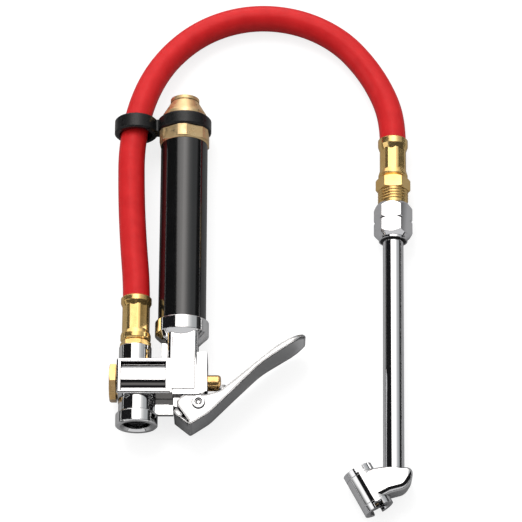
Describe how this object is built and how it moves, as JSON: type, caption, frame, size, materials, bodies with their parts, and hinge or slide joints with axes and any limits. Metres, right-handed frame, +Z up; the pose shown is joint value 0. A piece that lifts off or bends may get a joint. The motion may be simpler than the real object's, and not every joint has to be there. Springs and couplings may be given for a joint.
{
  "type": "tyre inflator with gauge",
  "caption": "Hand tyre inflator with a lever valve, a black slide-out gauge barrel, a red rubber hose looped to a chrome wand, and a chuck open at both ends.",
  "frame": {"origin": "centre of the rigid pieces' bounding box, on the surface that the tool lies on", "axes": "+Z up off the table, +Y along the gauge barrel from the valve to its cap, +X from the gun to the wand"},
  "size_m": [0.1414, 0.2612, 0.0256],
  "materials": {
    "chromed_casting": "bright chrome plate over a zinc die casting",
    "chromed_steel": "bright chrome plate over turned steel",
    "black_barrel": "satin black coating on a drawn tube",
    "brass": "turned brass with light tool marks",
    "lacquered_brass": "pressed brass with a yellow lacquer",
    "black_rubber": "moulded matt black rubber",
    "red_rubber": "extruded red rubber, slightly ribbed and matt",
    "seal_rubber": "black sealing rubber",
    "spring_steel": "drawn spring wire",
    "white_bar": "white moulded square bar",
    "screw_steel": "bright plated screw"
  },
  "bodies": {
    "root": {"valve_body": "chromed_casting", "chuck_body": "chromed_casting", "coupling": "chromed_steel", "wand_tube": "chromed_steel", "front_ring": "chromed_steel", "rear_ring": "chromed_steel", "gauge_barrel": "black_barrel", "barrel_cap": "brass", "valve_plug": "brass", "outlet_fitting": "lacquered_brass", "male_fitting": "lacquered_brass", "lower_ferrule": "lacquered_brass", "upper_ferrule": "lacquered_brass", "hose_clip": "black_rubber", "hose": "red_rubber", "barrel_gasket": "seal_rubber", "plug_washer": "seal_rubber", "plunger_seal": "seal_rubber", "wand_seal": "seal_rubber", "front_washer": "seal_rubber", "rear_washer": "seal_rubber", "gauge_spring": "spring_steel", "valve_spring": "spring_steel", "chuck_spring": "spring_steel", "lever_screw": "screw_steel", "lever_nut": "screw_steel"},
    "lever": {"lever": "chromed_casting"},
    "plunger": {"plunger": "brass", "valve_poppet": "brass", "poppet_face": "seal_rubber"},
    "piston": {"gauge_piston": "brass", "piston_cup": "seal_rubber"},
    "indicator_bar": {"indicator_bar": "white_bar"},
    "front_pin": {"front_pin": "brass"},
    "rear_pin": {"rear_pin": "brass"}
  },
  "joints": [
    {"name": "lever_squeeze", "type": "hinge", "parent": "root", "child": "lever", "pos_m": [-0.02925, -0.0536, 0.0128], "axis": [0, 0, 1], "range_deg": [0, 12], "stiffness_Nm_per_rad": 2, "springref_deg": -5.73},
    {"name": "plunger_slide", "type": "slide", "parent": "root", "child": "plunger", "axis": [-1, 0, 0], "range_m": [0, 0.003], "deforming": ["valve_spring"]},
    {"name": "piston_slide", "type": "slide", "parent": "root", "child": "piston", "axis": [0, 1, 0], "range_m": [0, 0.023], "stiffness_N_per_m": 2500, "deforming": ["gauge_spring"]},
    {"name": "bar_slide", "type": "slide", "parent": "root", "child": "indicator_bar", "axis": [0, 1, 0], "range_m": [0, 0.023]},
    {"name": "front_pin_slide", "type": "slide", "parent": "root", "child": "front_pin", "axis": [-0.4679, 0.8838, 0], "range_m": [0, 0.0014], "stiffness_N_per_m": 150, "springref_m": -0.001, "deforming": ["chuck_spring"]},
    {"name": "rear_pin_slide", "type": "slide", "parent": "root", "child": "rear_pin", "axis": [0.4679, -0.8838, 0], "range_m": [0, 0.0014], "stiffness_N_per_m": 150, "springref_m": -0.001, "deforming": ["chuck_spring"]}
  ],
  "couplings": [
    {"joint": "plunger_slide", "follows": "lever_squeeze", "m_per_rad": 0.01409},
    {"joint": "bar_slide", "follows": "piston_slide", "ratio": 1}
  ]
}
